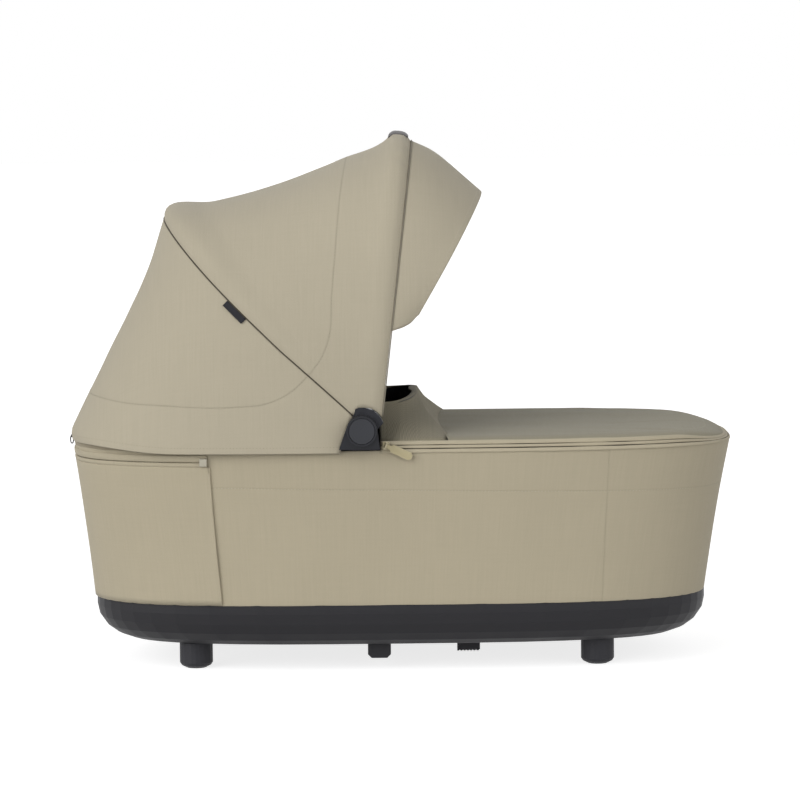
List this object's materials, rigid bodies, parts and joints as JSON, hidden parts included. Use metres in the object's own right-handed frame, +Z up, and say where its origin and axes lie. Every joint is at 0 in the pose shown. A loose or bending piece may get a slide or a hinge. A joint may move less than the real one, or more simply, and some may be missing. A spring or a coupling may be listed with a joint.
{
  "type": "carrycot",
  "caption": "Pram carrycot: moulded tub on four round feet, fabric walls, folding hood with carry bow and visor, domed apron with wind flap, zips, push-button hinges and a floor vent",
  "frame": {"origin": "on the floor under the middle of the cot's bounding box", "axes": "+X to the foot end, +Y to the left side as seen from the head end, +Z up"},
  "size_m": [0.822, 0.481, 0.6534],
  "materials": {
    "black_plastic": "fine-grained moulded plastic, matt",
    "grey_plastic": "satin moulded plastic",
    "foot_rubber": "matt rubber",
    "wall_cloth": "woven cloth with a slub",
    "hood_cloth": "woven cloth with a slub",
    "flap_cloth": "woven cloth",
    "dark_cloth": "dark knitted lining",
    "mattress_cloth": "soft knitted cover",
    "tape_cloth": "zip tape",
    "khaki_metal": "painted zip hardware",
    "grip_hide": "soft grained grip",
    "steel": "plain steel"
  },
  "bodies": {
    "cot": {"tub_base": "black_plastic", "foot_head_right": "foot_rubber", "foot_head_left": "foot_rubber", "foot_toe_right": "foot_rubber", "foot_toe_left": "foot_rubber", "chassis_mount_right": "black_plastic", "chassis_mount_left": "black_plastic", "vent_rail_outer": "black_plastic", "vent_rail_inner": "black_plastic", "outer_cover": "wall_cloth", "head_wrap": "wall_cloth", "rim_tube": "steel", "head_hoop": "steel", "foot_hoop": "steel", "inner_lining": "dark_cloth", "mattress": "mattress_cloth", "head_zip_tape": "tape_cloth", "foot_zip_tape": "tape_cloth", "hood_zip_tape": "tape_cloth", "head_zip_slider": "khaki_metal", "foot_zip_slider": "khaki_metal", "hinge_housing_right": "grey_plastic", "hinge_housing_left": "grey_plastic", "hinge_pin_right": "steel", "hinge_pin_left": "steel", "hood_rear_panel": "hood_cloth", "apron": "wall_cloth", "flap_wing_right": "flap_cloth", "flap_wing_left": "flap_cloth", "hem_staple": "steel"},
    "middle_bow_frame": {"mid_bow": "steel", "seam_label": "dark_cloth"},
    "carry_bow_frame": {"carry_bow": "steel", "bow_socket_right": "grey_plastic", "bow_socket_left": "grey_plastic", "visor_stud_right": "steel", "visor_stud_left": "steel", "handle_grip": "grip_hide", "hood_front_panel": "hood_cloth", "visor_cloth": "hood_cloth"},
    "visor_frame": {"visor_rim": "black_plastic"},
    "button_right": {"hinge_button_right": "grey_plastic"},
    "button_left": {"hinge_button_left": "grey_plastic"},
    "wind_flap_panel": {"wind_flap": "flap_cloth"},
    "zip_pull": {"foot_zip_pull": "khaki_metal"},
    "vent": {"vent_slider": "black_plastic"},
    "hanging_ring": {"hem_ring": "steel"}
  },
  "joints": [
    {"name": "middle_bow_fold", "type": "hinge", "parent": "cot", "child": "middle_bow_frame", "pos_m": [-0.0437, 0, 0.299], "axis": [0, -1, 0], "range_deg": [0, 37], "deforming": ["hood_rear_panel", "hood_front_panel"]},
    {"name": "carry_bow_fold", "type": "hinge", "parent": "middle_bow_frame", "child": "carry_bow_frame", "pos_m": [-0.0437, 0, 0.299], "axis": [0, -1, 0], "range_deg": [0, 43], "deforming": ["hood_rear_panel", "hood_front_panel"]},
    {"name": "visor_flip", "type": "hinge", "parent": "carry_bow_frame", "child": "visor_frame", "pos_m": [-0.02243, 0, 0.42709], "axis": [0, -1, 0], "range_deg": [0, 46], "deforming": ["visor_cloth"]},
    {"name": "button_press_right", "type": "slide", "parent": "cot", "child": "button_right", "axis": [0, 1, 0], "range_m": [0, 0.0035], "stiffness_N_per_m": 400, "springref_m": -0.002},
    {"name": "button_press_left", "type": "slide", "parent": "cot", "child": "button_left", "axis": [0, -1, 0], "range_m": [0, 0.0035], "stiffness_N_per_m": 400, "springref_m": -0.002},
    {"name": "wind_flap_fold", "type": "hinge", "parent": "cot", "child": "wind_flap_panel", "pos_m": [0.064, 0, 0.3003], "axis": [0, 1, 0], "range_deg": [0, 135], "deforming": ["flap_wing_right", "flap_wing_left"]},
    {"name": "zip_pull_lift", "type": "hinge", "parent": "cot", "child": "zip_pull", "pos_m": [-0.0152, -0.22105, 0.28], "axis": [-0.4226, 0, -0.9063], "range_deg": [0, 90]},
    {"name": "vent_slide", "type": "slide", "parent": "cot", "child": "vent", "axis": [1, 0, 0], "range_m": [0, 0.006]},
    {"name": "hem_ring_swing", "type": "hinge", "parent": "cot", "child": "hanging_ring", "pos_m": [-0.40845, 0, 0.2755], "axis": [0, 1, 0], "range_deg": [-15, 60]}
  ],
  "couplings": [
    {"joint": "middle_bow_fold", "follows": "carry_bow_fold", "ratio": 0.86}
  ]
}
